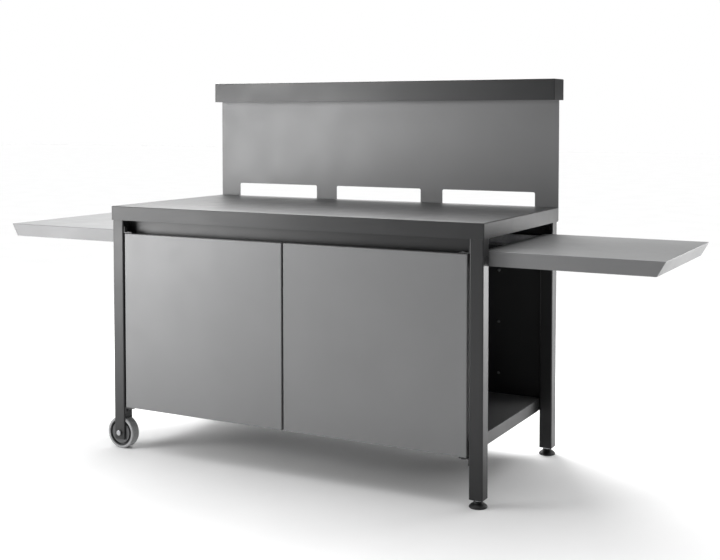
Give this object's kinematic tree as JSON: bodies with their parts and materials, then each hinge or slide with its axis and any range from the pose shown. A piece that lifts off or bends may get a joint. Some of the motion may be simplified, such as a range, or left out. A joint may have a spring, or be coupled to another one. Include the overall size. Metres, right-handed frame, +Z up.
{
  "type": "grill cart with storage",
  "caption": "Steel outdoor grill cart: worktop, doored cupboard, pull-out side shelves, slotted splash panel, wheels and levelling feet.",
  "frame": {"origin": "on the floor, at the bottom centre of the whole cart with both side shelves out", "axes": "+X to the right as seen from the doors, +Y to the back, +Z up"},
  "size_m": [2.185, 0.653, 1.1615],
  "materials": {
    "anthracite_paint": "satin anthracite powder coat on folded steel",
    "grey_paint": "satin mid grey powder coat on folded steel",
    "zinc_steel": "zinc plated steel",
    "black_steel": "black coated steel",
    "bright_steel": "bright fastener",
    "grey_rubber": "light grey non-marking tyre tread",
    "grey_plastic": "moulded wheel hub",
    "black_plastic": "moulded black nylon",
    "magnet": "ferrite magnet block",
    "black_rubber": "soft black rubber"
  },
  "bodies": {
    "frame": {"leg_front_left": "anthracite_paint", "leg_front_right": "anthracite_paint", "leg_rear_left": "anthracite_paint", "leg_rear_right": "anthracite_paint", "leg_plugs": "black_plastic", "front_rail": "anthracite_paint", "rear_rail": "anthracite_paint", "side_top_tubes": "anthracite_paint", "rear_top_tube": "anthracite_paint", "worktop": "anthracite_paint", "worktop_stiffeners": "anthracite_paint", "bottom_tray": "anthracite_paint", "tray_stiffeners": "anthracite_paint", "tray_brackets": "anthracite_paint", "back_panel": "anthracite_paint", "back_stiffeners": "anthracite_paint", "back_rivets": "bright_steel", "splash_panel": "grey_paint", "splash_posts": "anthracite_paint", "splash_cap": "anthracite_paint", "cap_angle": "anthracite_paint", "splash_bolts": "black_steel", "frame_screws": "black_steel", "pivot_brackets": "black_steel", "pivot_pins": "black_steel", "pivot_washers": "black_plastic", "catch_housings": "black_plastic", "catch_magnets": "magnet", "door_bumpers": "black_rubber", "slide_rails": "zinc_steel", "axle_sleeves": "zinc_steel", "axle_bolts": "bright_steel", "axle_nuts": "zinc_steel", "foot_inserts": "black_plastic"},
    "left_door": {"left_door": "grey_paint", "left_door_stiffener": "grey_paint", "left_door_bushes": "black_plastic", "left_door_strike": "zinc_steel"},
    "left_shelf": {"left_shelf": "grey_paint", "left_shelf_brackets": "zinc_steel", "left_slide_runners": "zinc_steel"},
    "left_carriage": {"left_slide_carriers": "zinc_steel"},
    "right_door": {"right_door": "grey_paint", "right_door_stiffener": "grey_paint", "right_door_bushes": "black_plastic", "right_door_strike": "zinc_steel"},
    "right_shelf": {"right_shelf": "grey_paint", "right_shelf_brackets": "zinc_steel", "right_slide_runners": "zinc_steel"},
    "right_carriage": {"right_slide_carriers": "zinc_steel"},
    "front_wheel": {"front_wheel_tyre": "grey_rubber", "front_wheel_hub": "grey_plastic"},
    "front_foot": {"front_foot_pad": "black_plastic", "front_foot_stem": "zinc_steel"},
    "rear_wheel": {"rear_wheel_tyre": "grey_rubber", "rear_wheel_hub": "grey_plastic"},
    "rear_foot": {"rear_foot_pad": "black_plastic", "rear_foot_stem": "zinc_steel"}
  },
  "joints": [
    {"name": "left_door_hinge", "type": "hinge", "parent": "frame", "child": "left_door", "pos_m": [-0.5654, -0.3105, 0.134], "axis": [0, 0, 1], "range_deg": [-110, 0]},
    {"name": "right_door_hinge", "type": "hinge", "parent": "frame", "child": "right_door", "pos_m": [0.5654, -0.3105, 0.134], "axis": [0, 0, 1], "range_deg": [0, 110]},
    {"name": "left_shelf_slide", "type": "slide", "parent": "frame", "child": "left_shelf", "axis": [-1, 0, 0], "range_m": [-0.445, 0]},
    {"name": "left_carriage_slide", "type": "slide", "parent": "frame", "child": "left_carriage", "axis": [-1, 0, 0], "range_m": [-0.2225, 0]},
    {"name": "right_shelf_slide", "type": "slide", "parent": "frame", "child": "right_shelf", "axis": [1, 0, 0], "range_m": [-0.445, 0]},
    {"name": "right_carriage_slide", "type": "slide", "parent": "frame", "child": "right_carriage", "axis": [1, 0, 0], "range_m": [-0.2225, 0]},
    {"name": "front_wheel_spin", "type": "hinge", "parent": "frame", "child": "front_wheel", "pos_m": [-0.604, -0.3005, 0.05], "axis": [0, 1, 0], "continuous": true},
    {"name": "rear_wheel_spin", "type": "hinge", "parent": "frame", "child": "rear_wheel", "pos_m": [-0.604, 0.2595, 0.05], "axis": [0, 1, 0], "continuous": true},
    {"name": "front_foot_height", "type": "slide", "parent": "frame", "child": "front_foot", "axis": [0, 0, -1], "range_m": [-0.002, 0.012]},
    {"name": "rear_foot_height", "type": "slide", "parent": "frame", "child": "rear_foot", "axis": [0, 0, -1], "range_m": [-0.002, 0.012]}
  ],
  "couplings": [
    {"joint": "left_carriage_slide", "follows": "left_shelf_slide", "ratio": 0.5},
    {"joint": "right_carriage_slide", "follows": "right_shelf_slide", "ratio": 0.5}
  ]
}
